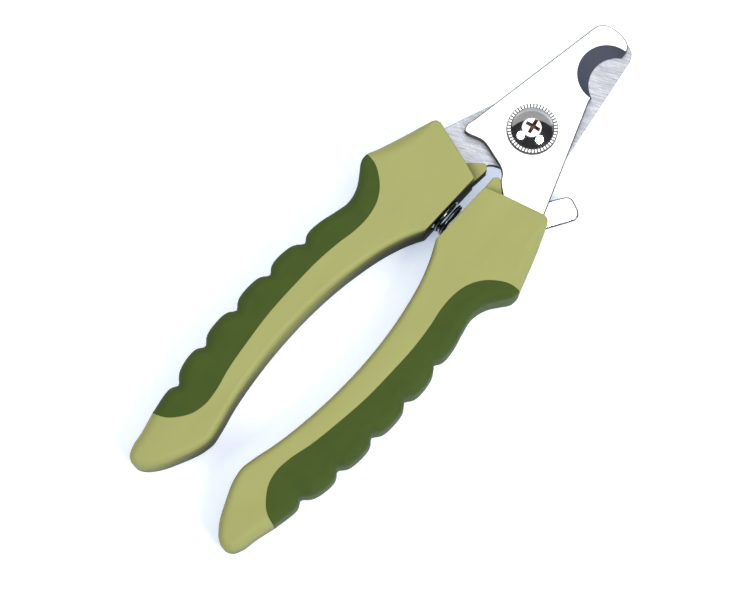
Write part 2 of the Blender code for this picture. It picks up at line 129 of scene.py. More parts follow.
HANDLE_RUNS = (
    ((INNER_FACE, -20.1, SHARP), (6.2, -18.5, 0.5)),
    ((6.2, -18.5, 0.5), (17.5, -15.2, 0.6)),
    ((17.5, -15.2, 0.6), (18.7, -15.45, 0.7), (19.55, -16.5, 1.0)),
    ((19.55, -16.5, 1.0), (21.15, -20.4, ROUND), (24.95, -31.2, 2.6), (25.85, -34.0, 1.5),
     (25.6, -35.8, 1.4), (24.15, -38.1, 2.2), (22.4, -40.7, ROUND), (21.3, -43.5, ROUND),
     (21.0, -46.0, ROUND), (21.7, -49.5, ROUND), (22.8, -53.5, ROUND), (23.5, -57.4, ROUND),
     (24.65, -67.0, ROUND), (25.0, -78.5, ROUND), (24.75, -90.0, ROUND), (23.85, -101.5, ROUND),
     (21.65, -112.0, ROUND), (20.5, -117.0, 2.7), (19.0, -122.6, 2.5), (18.1, -127.0, 2.3),
     (17.05, -128.9, 2.1), (15.1, -129.75, 2.0), (13.1, -129.0, 2.0), (11.2, -127.1, 2.1),
     (7.75, -121.0, 2.1), (5.5, -115.0, 1.9), (5.15, -112.5, 1.8), (5.7, -109.0, 1.8),
     (7.15, -103.0, 1.7), (8.95, -91.0, 1.7), (9.65, -80.0, 1.7), (9.35, -68.0, 1.7),
     (7.85, -56.5, 1.7), (5.4, -46.5, SOFT), (2.9, -40.5, SOFT), (INNER_FACE, -38.3, 1.0)),
    ((INNER_FACE, -38.3, 1.0), (INNER_FACE, -37.6, SHARP)),
    ((INNER_FACE, -37.6, SHARP), (INNER_FACE, -20.1, SHARP)),
)
GRIP_EDGE = (
    (30.0, -33.4), (26.1, -33.7), (22.6, -34.2), (19.4, -36.1), (17.0, -38.5), (15.4, -41.4),
    (14.5, -45.5), (14.6, -50.3), (15.4, -55.0), (16.1, -61.5), (16.25, -70.0), (16.0, -80.0),
    (15.1, -88.3), (13.8, -97.0), (12.4, -103.0), (12.05, -106.8), (12.8, -110.6), (14.6, -113.6),
    (17.6, -116.4), (20.6, -117.4), (26.0, -118.6),
)
BLADE_RUNS = (
    ((-6.3, 29.6), (-12.45, -7.6)),
    ((-12.45, -7.6), (-12.9, -10.4), (-12.3, -11.8), (-11.0, -11.75), (-9.0, -11.1), (-7.3, -10.65),
     (-5.5, -10.85), (-3.0, -11.55), (0.0, -12.4), (1.2, -12.95), (2.2, -13.8), (3.0, -15.1), (6.0, -17.7)),
    ((6.0, -17.7), (8.6, -20.5), (10.8, -25.5)),
    ((10.8, -25.5), (10.8, -37.0)),
    ((10.8, -37.0), (8.8, -42.0), (8.9, -51.0)),
    ((8.9, -51.0), (12.2, -51.0)),
    ((12.2, -51.0), (13.0, -43.0), (18.0, -33.5), (20.9, -29.0)),
    ((20.9, -29.0), (18.3, -18.0)),
    ((18.3, -18.0), (16.9, -14.2)),
    ((16.9, -14.2), (5.7, 15.2)),
    ((5.7, 15.2), (4.05, 30.6)),
    ((4.05, 30.6), (4.0, 31.6), (3.45, 32.6), (2.4, 33.25), (0.6, 33.75), (-1.2, 33.8), (-3.5, 33.45),
     (-4.6, 33.0), (-5.45, 32.2), (-6.0, 31.1), (-6.3, 29.6)),
)
HEEL = (
    (1.75, -22.0), (9.0, -22.0), (6.4, -18.2), (3.3, -15.4), (2.6, -14.95), (1.9, -15.05), (1.15, -15.9),
    (1.35, -18.8),
)
RING_PROFILE = (  # radius, height and depth of the grooves there
    (3.2, 0.0, 0.0), (6.4, 0.0, 0.0), (6.52, 0.12, 0.0), (6.52, 0.5, 0.0), (6.42, 0.72, 0.2),
    (6.3, 0.86, 0.35), (5.8, 0.88, 0.35), (5.5, 0.88, 0.35), (5.3, 0.4, 0.0), (3.2, 0.4, 0.0),
)
LEVER_RUNS = (
    ((13.9, -12.2), (17.7, -6.6)),
    ((17.7, -6.6), (18.6, -6.05), (19.6, -6.05)),
    ((19.6, -6.05), (22.3, -7.15)),
    ((22.3, -7.15), (23.25, -8.2), (23.3, -9.6)),
    ((23.3, -9.6), (19.4, -16.2)),
    ((19.4, -16.2), (17.9, -19.7), (15.0, -20.9), (12.4, -19.4), (11.9, -16.5)),
    ((11.9, -16.5), (12.3, -14.0)),
    ((12.3, -14.0), (12.8, -12.4), (13.9, -12.2)),
)


# ---------------------------------------------------------------- outlines

def smooth(points, step):
    """Points along a curve through the given ones, the last one left out."""
    points = [Vector((*p, 0.0)[:3]) for p in points]
    spans = [(b - a) for a, b in zip(points, points[1:])]
    lengths = [s.to_2d().length for s in spans]
    slopes = [s / d for s, d in zip(spans, lengths)]
    tangents = [slopes[0]]
    for i in range(1, len(slopes)):
        before, after = lengths[i - 1], lengths[i]
        tangents.append((slopes[i] * before + slopes[i - 1] * after) / (before + after))
    tangents.append(slopes[-1])
    found = []
    for i, length in enumerate(lengths):
        count = max(1, math.ceil(length / step))
        for k in range(count):
            t = k / count
            found.append(
                points[i] * (2 * t**3 - 3 * t**2 + 1)
                + tangents[i] * (length * (t**3 - 2 * t**2 + t))
                + points[i + 1] * (3 * t**2 - 2 * t**3)
                + tangents[i + 1] * (length * (t**3 - t**2))
            )
    return found


def signed_area(loop):
    return sum(a.x * b.y - b.x * a.y for a, b in zip(loop, loop[1:] + loop[:1])) / 2


def counterclockwise(loop):
    return loop if signed_area(loop) > 0 else loop[::-1]


def outline(runs, step=CURVE_STEP):
    return counterclockwise([p for run in runs for p in smooth(run, step)])


def moved_out(loop, distances):
    """The counterclockwise loop with each point moved out by its own distance."""
    found = []
    for i, point in enumerate(loop):
        before = (point - loop[i - 1]).to_2d().normalized()
        after = (loop[(i + 1) % len(loop)] - point).to_2d().normalized()
        normal = Vector((before.y + after.y, -before.x - after.x)).normalized()
        miter = max(0.6, normal.x * after.y - normal.y * after.x)
        found.append(point + Vector((*(normal * distances[i] / miter), 0.0)))
    return found


def grown(loop, distance):
    return moved_out(loop, [distance] * len(loop))


def handle_loop():
    """The handle's outline with the finger grooves pressed into its outer side."""
    loop = outline(HANDLE_RUNS)
    for point in loop:
        if point.x > OUTER_SIDE and GROOVED[0] < point.y < GROOVED[1]:
            depth = sum(1 / (1 + ((point.y - y) / GROOVE_WIDTH) ** 2) for y in GROOVES)
            point.x -= GROOVE_DEPTH * depth
    return loop


def grip_region(margin):
    """Everything outside the line where the grip meets the core, grown by the margin."""
    edge = smooth(GRIP_EDGE, CURVE_STEP) + [Vector((*GRIP_EDGE[-1], 0.0))]
    far = [Vector((40.0, GRIP_EDGE[-1][1], 0.0)), Vector((40.0, GRIP_EDGE[0][1], 0.0))]
    return grown(counterclockwise(edge + far), margin)


# ---------------------------------------------------------------- solids

def add_object(name, mesh):
    made = bpy.data.objects.new(name, mesh)
    bpy.context.scene.collection.objects.link(made)
    return made


def object_from(name, work):
    mesh = bpy.data.meshes.new(name)
    work.to_mesh(mesh)
    work.free()
    return add_object(name, mesh)


def loft(name, rings):
    """A closed solid through rings of (x, y, z) in millimetres, with a flat cap at each end."""
    work = bmesh.new()
    made = [[work.verts.new(Vector(p) * MM) for p in ring] for ring in rings]
    count = len(rings[0])
    for low, high in zip(made, made[1:]):
        for i in range(count):
            j = (i + 1) % count
            work.faces.new((low[i], low[j], high[j], high[i]))
    work.faces.new(made[0][::-1])
    work.faces.new(made[-1])
    return object_from(name, work)


def rounded_plate(name, loop, low, high, steps=EDGE_STEPS, hold=0.12):
    """The outline between two heights; each point's third value is its edge's radius, and hold is the
    width of a flat band that keeps the shading level beside the rounding."""
    levels = [(1.0, 0.0, hold)]
    for k in range(steps + 1):
        angle = math.pi / 2 * k / steps
        levels.append((1 - math.sin(angle), 1 - math.cos(angle), 0.0))
    rings = []
    for inset, rise, more in levels:
        ring = moved_out(loop, [-p.z * inset - more for p in loop])
        rings.append([(p.x, p.y, low + p.z * rise) for p in ring])
    for inset, rise, more in levels[::-1]:
        ring = moved_out(loop, [-p.z * inset - more for p in loop])
        rings.append([(p.x, p.y, high - p.z * rise) for p in ring])
    return loft(name, rings)


def with_edge(loop, radius):
    return [Vector((p[0], p[1], radius)) for p in loop]


def plate(name, loop, low, high):
    return loft(name, [[(p[0], p[1], z) for p in loop] for z in (low, high)])


def cone(name, low, high, sides=128):
    """A round piece between two circles given as (x, y, z, radius)."""
    rings = []
    for x, y, z, radius in (low, high):
        turns = (2 * math.pi * k / sides for k in range(sides))
        rings.append([(x + radius * math.cos(a), y + radius * math.sin(a), z) for a in turns])
    return loft(name, rings)


def disc(name, x, y, radius, low, high, sides=96):
    return cone(name, (x, y, low, radius), (x, y, high, radius), sides)


def turned(name, profile, sides=96):
    """A round piece about the Z axis from (radius, height) points, outer side downwards."""
    mesh = bpy.data.meshes.new(name)
    points = [(r * MM, 0.0, z * MM) for r, z in profile]
    mesh.from_pydata(points, [(i, i + 1) for i in range(len(points) - 1)], [])
    made = add_object(name, mesh)
    screw = made.modifiers.new("turn", "SCREW")
    screw.steps = screw.render_steps = sides
    screw.use_merge_vertices = True
    screw.merge_threshold = 0.000001
    return evaluated(made)


def evaluated(made):
    """The object with its modifiers applied."""
    bpy.context.view_layer.update()
    graph = bpy.context.evaluated_depsgraph_get()
    mesh = bpy.data.meshes.new_from_object(made.evaluated_get(graph))
    name = made.name
    bpy.data.objects.remove(made)
    return add_object(name, mesh)


def combined(made, tool, operation):
    boolean = made.modifiers.new(operation.lower(), "BOOLEAN")
    boolean.operation = operation
    boolean.solver = "EXACT"
    boolean.object = tool
    result = evaluated(made)
    bpy.data.objects.remove(tool)
    return result


def cut(made, *tools):
    for tool in tools:
        made = combined(made, tool, "DIFFERENCE")
    return made


# ---------------------------------------------------------------- materials

class Shader:
    """A Principled material whose textures are laid out in millimetres of the tool's frame."""

    def __init__(self, name, colour, roughness, metallic=0.0, **sockets):
        self.material = bpy.data.materials.new(name)
        self.material.use_nodes = True
        self.tree = self.material.node_tree
        self.surface = self.tree.nodes["Principled BSDF"]
        self.set("Base Color", (*colour, 1.0))
        self.set("Roughness", roughness)
        self.set("Metallic", metallic)
        for socket, value in sockets.items():
            self.set(socket.replace("_", " "), value)
        self.coords = self.node("ShaderNodeTexCoord").outputs["Object"]

    def set(self, socket, value):
        self.surface.inputs[socket].default_value = value

    def node(self, kind, **settings):
        made = self.tree.nodes.new(kind)
        for key, value in settings.items():
            setattr(made, key, value)
        return made

    def link(self, source, target):
        self.tree.links.new(source, target)

    def scaled(self, size, turn=0.0):
        """Coordinates in units of size millimetres along each axis, turned about Z."""
        mapping = self.node("ShaderNodeMapping")
        if turn:
            turning = self.node("ShaderNodeMapping")
            turning.inputs["Rotation"].default_value[2] = turn
            self.link(self.coords, turning.inputs["Vector"])
            self.link(turning.outputs["Vector"], mapping.inputs["Vector"])
        else:
            self.link(self.coords, mapping.inputs["Vector"])
        mapping.inputs["Scale"].default_value = [1 / (s * MM) for s in size]
        return mapping.outputs["Vector"]

    def noise(self, size, turn=0.0, detail=3.0, distortion=0.0):
        """Noise whose grains have the given size in millimetres."""
        texture = self.node("ShaderNodeTexNoise")
        texture.inputs["Scale"].default_value = 1.0
        texture.inputs["Detail"].default_value = detail
        texture.inputs["Distortion"].default_value = distortion
        self.link(self.scaled(size, turn), texture.inputs["Vector"])
        return texture.outputs["Fac"]

    def ramp(self, factor, low, high, ends=(0.35, 0.65)):
        """A colour between low and high as the factor crosses the ends."""
        ramp = self.node("ShaderNodeValToRGB")
        for stop, place, colour in zip(ramp.color_ramp.elements, ends, (low, high)):
            stop.position = place
            stop.color = (*colour, 1.0)
        self.link(factor, ramp.inputs["Fac"])
        return ramp.outputs["Color"]

    def between(self, factor, low, high, ends=(0.3, 0.7)):
        """A number between low and high as the factor crosses the ends."""
        span = self.node("ShaderNodeMapRange")
        values = (*ends, low, high)
        for socket, value in zip(("From Min", "From Max", "To Min", "To Max"), values):
            span.inputs[socket].default_value = value
        self.link(factor, span.inputs["Value"])
        return span.outputs["Result"]

    def mixed(self, factor, first, second, blend="MIX"):
        """The first colour blended with the second by a fixed factor."""
        mix = self.node("ShaderNodeMix", data_type="RGBA", blend_type=blend)
        mix.inputs["Factor"].default_value = factor
        self.link(first, mix.inputs["A"])
        self.link(second, mix.inputs["B"])
        return mix.outputs["Result"]

    def painted_crevice_shade(self, colour, reach):
        """The colour, darkened with painted shade where other surfaces stand closer than the reach in
        millimetres.
        """
        shade = self.node("ShaderNodeAmbientOcclusion", samples=8)
        shade.inputs["Distance"].default_value = reach * MM
        dim = self.between(shade.outputs["AO"], 0.04, 1.0, (0.32, 0.88))
        grey = self.node("ShaderNodeCombineColor")
        for socket in ("Red", "Green", "Blue"):
            self.link(dim, grey.inputs[socket])
        return self.mixed(1.0, colour, grey.outputs["Color"], "MULTIPLY")

    def bump(self, *layers):
        """Bumps of (height, depth in millimetres), one over the other."""
        normal = None
        for height, depth in layers:
            bump = self.node("ShaderNodeBump")
            bump.inputs["Strength"].default_value = 1.0
            bump.inputs["Distance"].default_value = depth * MM
            self.link(height, bump.inputs["Height"])
            if normal:
                self.link(normal, bump.inputs["Normal"])
            normal = bump.outputs["Normal"]
        self.link(normal, self.surface.inputs["Normal"])


def hard_plastic(name, shine, shade_reach):
    """Satin moulded olive plastic, with flow marks, a fine grain, and painted shade in its creases and gaps
    out to the given reach.
    """
    shader = Shader(name, (0.245, 0.245, 0.09), 0.5, Specular_IOR_Level=shine)
    flow = shader.noise((9.0, 26.0, 9.0), detail=2.0)
    colour = shader.ramp(flow, (0.288, 0.299, 0.102), (0.306, 0.318, 0.112))
    if shade_reach:
        colour = shader.painted_crevice_shade(colour, shade_reach)
    shader.link(colour, shader.surface.inputs["Base Color"])
    grain = shader.noise((0.16, 0.16, 0.16), detail=2.0)
    shader.link(shader.between(flow, 0.46, 0.54), shader.surface.inputs["Roughness"])
    shader.bump((grain, 0.006))
    return shader.material


def soft_grip():
    """Matt dark green elastomer with a fine peach-skin texture."""
    shader = Shader("green_elastomer", (0.04, 0.07, 0.01), 0.75, Specular_IOR_Level=0.15,
                    Sheen_Weight=0.03, Sheen_Roughness=0.6)
    cloud = shader.noise((7.0, 7.0, 7.0), detail=3.0)
    colour = shader.ramp(cloud, (0.039, 0.067, 0.0085), (0.045, 0.075, 0.0105))
    shader.link(colour, shader.surface.inputs["Base Color"])
    shader.link(shader.between(cloud, 0.7, 0.8), shader.surface.inputs["Roughness"])
    shader.bump((shader.noise((0.22, 0.22, 0.22), detail=3.0), 0.012))
    return shader.material


def polished_steel():
    """The outer faces of the blades: mirror ground, with faint haze and hairlines."""
    shader = Shader("polished_steel", (0.9, 0.9, 0.91), 0.16, 1.0)
    hair = shader.noise((0.05, 9.0, 2.0), turn=0.9, detail=2.0)
    haze = shader.noise((6.0, 6.0, 6.0), detail=2.0)
    colour = shader.ramp(haze, (0.86, 0.87, 0.89), (0.93, 0.93, 0.94))
    shader.link(colour, shader.surface.inputs["Base Color"])
    shader.link(shader.between(hair, 0.12, 0.22), shader.surface.inputs["Roughness"])
    shader.bump((hair, 0.0006))
    return shader.material


def ground_steel(name, turn):
    """The sliding faces: ground across, in streaks of different strength, and scratched by use."""
    shader = Shader(name, (0.4, 0.42, 0.46), 0.5, 1.0)
    streaks = shader.noise((0.09, 2.6, 3.0), turn=turn, detail=4.0, distortion=0.1)
    bands = shader.noise((0.4, 6.0, 3.0), turn=turn, detail=3.0)
    scratches = shader.noise((0.07, 3.4, 3.0), turn=turn + 0.9, detail=2.0)
    low, high = (0.27, 0.28, 0.325), (0.62, 0.64, 0.70)
    fine = shader.ramp(streaks, low, high, (0.36, 0.62))
    broad = shader.ramp(bands, low, high, (0.36, 0.62))
    worn = shader.mixed(0.45, fine, broad)
    bright = shader.ramp(scratches, (1.0, 1.0, 1.0), (1.5, 1.5, 1.5), (0.60, 0.70))
    shader.link(shader.mixed(1.0, worn, bright, "MULTIPLY"), shader.surface.inputs["Base Color"])
    shader.link(shader.between(streaks, 0.42, 0.56), shader.surface.inputs["Roughness"])
    shader.bump((streaks, 0.003), (scratches, 0.002))
    return shader.material


def sheared_and_shaded_steel():
    """The stamped edges, tumbled dull and painted nearly black: partly the steel's real dullness, partly
    painted shade that draws the outline's dark lines.
    """
    shader = Shader("sheared_and_shaded_steel", (0.08, 0.08, 0.09), 0.6, Specular_IOR_Level=0.1)
    streaks = shader.noise((0.3, 0.3, 1.2), detail=3.0)
    colour = shader.ramp(streaks, (0.06, 0.06, 0.068), (0.11, 0.11, 0.125))
    shader.link(colour, shader.surface.inputs["Base Color"])
    shader.link(shader.between(streaks, 0.5, 0.7), shader.surface.inputs["Roughness"])
    return shader.material


def bevel_painted_dark():
    """The hollow-ground crescent of the notch, painted matt dark grey-blue: a painted reflection of dark
    surroundings in place of the steel's own shine.
    """
    shader = Shader("bevel_painted_dark", (0.07, 0.08, 0.11), 0.7, Specular_IOR_Level=0.2)
    streaks = shader.noise((0.12, 0.12, 4.0), detail=3.0)
    colour = shader.ramp(streaks, (0.041, 0.047, 0.069), (0.053, 0.061, 0.088))
    shader.link(colour, shader.surface.inputs["Base Color"])
    shader.link(shader.between(streaks, 0.62, 0.78), shader.surface.inputs["Roughness"])
    return shader.material


def bright_plate():
    """Nickel plate, nearly a mirror."""
    shader = Shader("bright_plate", (0.86, 0.86, 0.87), 0.06, 1.0)
    haze = shader.noise((1.6, 1.6, 1.6), detail=3.0)
    colour = shader.ramp(haze, (0.82, 0.82, 0.83), (0.90, 0.90, 0.91))
    shader.link(colour, shader.surface.inputs["Base Color"])
    shader.link(shader.between(haze, 0.04, 0.10), shader.surface.inputs["Roughness"])
    return shader.material


def recess_steel():
    """The bare, browned walls of the cross recess."""
    shader = Shader("recess_steel", (0.13, 0.07, 0.05), 0.5, 0.6)
    cloud = shader.noise((0.7, 0.7, 0.7), detail=3.0)
    colour = shader.ramp(cloud, (0.07, 0.035, 0.025), (0.20, 0.11, 0.08))
    shader.link(colour, shader.surface.inputs["Base Color"])
    shader.link(shader.between(cloud, 0.4, 0.6), shader.surface.inputs["Roughness"])
    return shader.material


def spring_wire():
    """Black oiled spring wire, drawn lengthwise."""
    shader = Shader("spring_wire", (0.012, 0.016, 0.014), 0.12, Specular_IOR_Level=0.9, Coat_Weight=1.0,
                    Coat_Roughness=0.05)
    cloud = shader.noise((0.8, 0.8, 0.8), detail=3.0)
    colour = shader.ramp(cloud, (0.004, 0.008, 0.006), (0.010, 0.018, 0.014))
    shader.link(colour, shader.surface.inputs["Base Color"])
    shader.link(shader.between(cloud, 0.08, 0.16), shader.surface.inputs["Roughness"])
    return shader.material


# the handles' plastic carries painted shade in its crevices; the walls' copy has almost no shine, painted
# shade that keeps them dark
PLASTIC = hard_plastic("olive_plastic", 0.14, PAINTED_SHADE_REACH)
SHADED_WALL = hard_plastic("olive_plastic_shaded_wall", 0.02, PAINTED_SHADE_REACH)
LIT_HEEL = hard_plastic("olive_plastic_lit_heel", 0.14, 0.0)  # for the right heel's top, left without painted shade so that it looks lit
GRIP, POLISHED, SHADED_EDGE = soft_grip(), polished_steel(), sheared_and_shaded_steel()
PAINTED_BEVEL, BRIGHT, WIRE, RECESS = bevel_painted_dark(), bright_plate(), spring_wire(), recess_steel()


# ---------------------------------------------------------------- pieces

def finish(made, name, node, body, materials, pose=PLAIN, angle=32, choose=None):
    """Puts a piece where the CAD has it, and gives it its body, node and materials."""
    made.name = name
    mesh = made.data
    mesh.transform(Matrix.Translation(PIVOT) @ pose)
    mesh.materials.clear()
    for material in materials:
        mesh.materials.append(material)
    if choose:
        for face in mesh.polygons:
            face.material_index = choose(face)
    mesh.shade_smooth()
    mesh.set_sharp_from_angle(angle=math.radians(angle))
    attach(made, body)
    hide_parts(node)
    return made


def blade_piece(name, node, body, pose, turn):
    """One stamped plate with its hollow-ground notch; outer face polished, inner face ground."""
    loop = with_edge(outline(BLADE_RUNS, 0.4), BLADE_EDGE)
    made = rounded_plate(name, loop, BLADE_BACK, BLADE_FRONT, steps=3, hold=0.03)
    low, high = Vector(NOTCH_EDGE), Vector(NOTCH_BEVEL)
    slope = (high - low) / BLADE_THICK
    below, above = low - slope * NOTCH_PAST, high + slope * NOTCH_PAST
    notch = cone("notch", (below.x, below.y, BLADE_BACK - NOTCH_PAST, below.z),
                 (above.x, above.y, BLADE_FRONT + NOTCH_PAST, above.z), 240)
    hole = disc("hole", 0, 0, BARREL_RADIUS + RUNNING, BLADE_BACK - PAST, BLADE_FRONT + PAST)
    made = cut(made, notch, hole)
    inner = ground_steel(name + "_ground", turn)
    side = 1.0 if pose is PLAIN else -1.0

    def choose(face):
        up = face.normal.z * side
        if up > FLAT:
            return 0
        if up < -FLAT:
            return 1
        centre = (Vector(face.center) - PIVOT) / MM
        out = Vector((centre.x * side - NOTCH_EDGE[0], centre.y - NOTCH_EDGE[1])).length
        # the notch's grinding takes the bevel's painted dark reflection
        if up > 0.3 and out < NOTCH_BEVEL[2] + BEVEL_REACH and centre.x * side < BEVEL_SIDE:
            return 2
        # the back blade's forward edges keep the shine of its ground face; the other edges take the dark
        # edge material, painted shade along the outline
        return 3 if side > 0 or face.normal.y < -0.3 else 1

    materials = (POLISHED, inner, PAINTED_BEVEL, SHADED_EDGE)
    return finish(made, name, node, body, materials, pose, 25, choose)


def core_piece(name, node, body, pose):
    """The hard moulding round the tang."""
    made = rounded_plate(name, handle_loop(), -HANDLE_HALF, HANDLE_HALF)
    made = cut(made, plate("side", grip_region(SEAM), -HANDLE_HALF - PAST, HANDLE_HALF + PAST))
    heel = with_edge(counterclockwise([Vector((*p, 0.0)) for p in HEEL]), HEEL_EDGE)
    made = combined(made, rounded_plate("heel", heel, HEEL_LOW, HEEL_HIGH, 3), "UNION")
    slot = plate("slot", grown(outline(BLADE_RUNS), SEAM), BLADE_BACK - ROOM, BLADE_FRONT + SEAM)
    pocket = disc("pocket", 0, 0, POCKET_RADIUS, INNER_FACE - 2 * PAST, POCKET_END)
    pocket.data.transform(Matrix.Translation((0, SPRING_Y * MM, 0)) @ Matrix.Rotation(math.pi / 2, 4, "Y"))
    made = cut(made, slot, pocket)
    if pose is PLAIN:
        lever = grown(outline(LEVER_RUNS), LEVER_ROOM)
        made = cut(made, plate("recess", lever, LEVER_BOTTOM - ROOM, BLADE_BACK))

    def choose(face):
        # walls take the shaded copy and the right heel's top the lit copy: painted shade and painted light
        if abs(face.normal.z) < STEEP:
            return 1
        height = (face.center.z - PIVOT.z) / MM
        return 2 if face.normal.z > FLAT and abs(height - HEEL_HIGH) < 0.1 else 0

    return finish(made, name, node, body, (PLASTIC, SHADED_WALL, LIT_HEEL), pose, choose=choose)


def grip_piece(name, node, body, pose):
    """The soft moulding round the outer side."""
    made = rounded_plate(name, handle_loop(), -HANDLE_HALF, HANDLE_HALF)
    region = plate("side", grip_region(0.0), -HANDLE_HALF - PAST, HANDLE_HALF + PAST)
    made = combined(made, region, "INTERSECT")
    return finish(made, name, node, body, (GRIP,), pose, 50)


def sphere_under(radius, height):
    """The radius of the sphere that a dome of this radius and height is part of."""
    return (radius**2 + height**2) / (2 * height)


def dome(radius, base, height, steps=14):
    """The (radius, height) points of a dome, from its top out to its rim."""
    sphere = sphere_under(radius, height)
    spread = math.asin(radius / sphere)
    return [(sphere * math.sin(spread * k / steps),
             base + height - sphere * (1 - math.cos(spread * k / steps))) for k in range(steps + 1)]


def cross_slot(turn, top):
    """One slot of the cross recess, tapering towards its bottom."""
    c, s = math.cos(turn), math.sin(turn)
    rings = []
    for length, across, rise in CROSS_LEVELS:
        corners = ((-length, -across), (length, -across), (length, across), (-length, across))
        rings.append([(x * c - y * s, x * s + y * c, top + rise) for x, y in corners])
    return loft("cross", rings)


def screw_piece():
    """Domed head with a cross recess whose walls taper to the middle."""
    base = BLADE_FRONT + RUNNING + RING_THICK + RUNNING
    top = base + HEAD_HEIGHT
    rise = HEAD_HEIGHT - HEAD_RIM
    profile = dome(HEAD_RADIUS, base + HEAD_RIM, rise)
    profile += [(HEAD_RADIUS, base + RIM_CHAMFER), (HEAD_RADIUS - RIM_CHAMFER, base),
                (SHANK_RADIUS, base), (SHANK_RADIUS, SHANK_END), (0.0, SHANK_END)]
    made = turned("screw", profile, 128)
    for turn in (CROSS_TURN, CROSS_TURN + math.pi / 2):
        made = cut(made, cross_slot(turn, top))
    sphere = sphere_under(HEAD_RADIUS, rise)
    middle = PIVOT + Vector((0.0, 0.0, top - sphere)) * MM

    def choose(face):
        inside = (face.center - middle).length < (sphere - TIGHT) * MM
        return 1 if inside and (face.center - PIVOT).z > base * MM else 0

    return finish(made, "screw_head", "pivot_screw", "left_half", (BRIGHT, RECESS),
                  angle=30, choose=choose)


def ring_piece():
    """Serrated ring: flat-topped teeth with narrow grooves between them, running out to the rim; the
    grooves' darkness is painted shade from the dark edge material.
    """
    low = BLADE_FRONT + RUNNING
    rings = []
    count = RING_TEETH * TOOTH_STEPS
    for radius, height, groove in RING_PROFILE:
        ring = []
        for k in range(count):
            angle = 2 * math.pi * k / count
            depth = groove if k % TOOTH_STEPS in GROOVE_STEPS else 0.0
            ring.append((radius * math.cos(angle), radius * math.sin(angle), low + height - depth))
        rings.append(ring)
    work = bmesh.new()
    made = [[work.verts.new(Vector(p) * MM) for p in ring] for ring in rings]
    for a, b in zip(made, made[1:] + made[:1]):
        for i in range(count):
            j = (i + 1) % count
            work.faces.new((a[i], b[i], b[j], a[j]))
    bmesh.ops.recalc_face_normals(work, faces=work.faces)
    piece = object_from("ring", work)

    def choose(face):
        height = (face.center.z - PIVOT.z) / MM - low
        return 0 if face.normal.z > 0.9 and height > RING_FLAT else 1

    return finish(piece, "serrated_collar", "serrated_ring", "left_half", (BRIGHT, SHADED_EDGE),
                  angle=20, choose=choose)


def nut_piece():
    """The barrel that the blades turn on, with a slotted domed head behind."""
    base = -BLADE_FRONT - RUNNING - WASHER_THICK - RUNNING
    top = BLADE_FRONT + RUNNING + RING_THICK - NUT_TOP_DROP
    bore_end = base - NUT_BORE_DEPTH
    under = [(r, 2 * base - z) for r, z in dome(NUT_RADIUS, base + HEAD_RIM, HEAD_HEIGHT - HEAD_RIM)]
    profile = [(NUT_BORE, top), (BARREL_RADIUS, top), (BARREL_RADIUS, base),
               (NUT_RADIUS - RIM_CHAMFER, base), (NUT_RADIUS, base - RIM_CHAMFER)]
    profile += under[::-1] + [(0.0, bore_end), (NUT_BORE, bore_end), (NUT_BORE, top)]
    made = turned("nut", profile, 128)
    across, end = NUT_SLOT_HALF, NUT_RADIUS + PAST
    slot = plate("slot", [(-end, -across), (end, -across), (end, across), (-end, across)],
                 base - HEAD_HEIGHT - PAST, base - HEAD_HEIGHT + NUT_SLOT_DEPTH)
    made = cut(made, slot)
    return finish(made, "nut_head", "barrel_nut", "left_half", (BRIGHT,), angle=30)


def washer_piece():
    """The thin washer behind the back blade."""
    low = -BLADE_FRONT - RUNNING - WASHER_THICK
    high = low + WASHER_THICK
    outer, chamfer = WASHER_RADIUS, WASHER_CHAMFER
    profile = [(WASHER_BORE, high), (outer - chamfer, high), (outer, high - chamfer), (outer, low + chamfer),
               (outer - chamfer, low), (WASHER_BORE, low), (WASHER_BORE, high)]
    made = turned("washer", profile)
    return finish(made, "back_washer_disc", "back_washer", "left_half", (BRIGHT,), angle=30)


def lever_piece():
    """The flat lock lever, dull at its stamped edge, which carries the dark edge material: partly the
    steel's dullness, partly painted shade.
    """
    loop = with_edge(outline(LEVER_RUNS, 0.4), LEVER_EDGE)
    made = rounded_plate("lever", loop, LEVER_BOTTOM, LEVER_TOP, steps=4, hold=0.05)
    made = cut(made, disc("hole", RIVET.x, RIVET.y, RIVET_HOLE, LEVER_BOTTOM - PAST, LEVER_TOP + PAST))
    return finish(made, "lock_tab", "lock_lever", "lock", (POLISHED, SHADED_EDGE), angle=30,
                  choose=lambda face: 0 if abs(face.normal.z) > FLAT else 1)


def spring_piece():
    """The coil between the two halves."""
    per_turn, sides = 48, 12
    count = SPRING_TURNS * per_turn
    path = []
    for k in range(count + 1):
        angle = 2 * math.pi * k / per_turn
        x = SPRING_HALF * (2 * k / count - 1)
        path.append(Vector((x, SPRING_Y + SPRING_RADIUS * math.cos(angle), SPRING_RADIUS * math.sin(angle))))
    rings = []
    for k, point in enumerate(path):
        along = (path[min(k + 1, count)] - path[max(k - 1, 0)]).normalized()
        out = Vector((0.0, point.y - SPRING_Y, point.z)).normalized()
        side = along.cross(out).normalized()
        out = side.cross(along)
        ring = []
        for s in range(sides):
            turn = 2 * math.pi * s / sides
            ring.append(point + (out * math.cos(turn) + side * math.sin(turn)) * WIRE_RADIUS)
        rings.append(ring)
    made = loft("spring", rings)
    made.name = "spring_coil"
    made.data.transform(Matrix.Translation(PIVOT))
    made.data.materials.append(WIRE)
    made.data.shade_smooth()
    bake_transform(made)
    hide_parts("handle_spring")
    return made


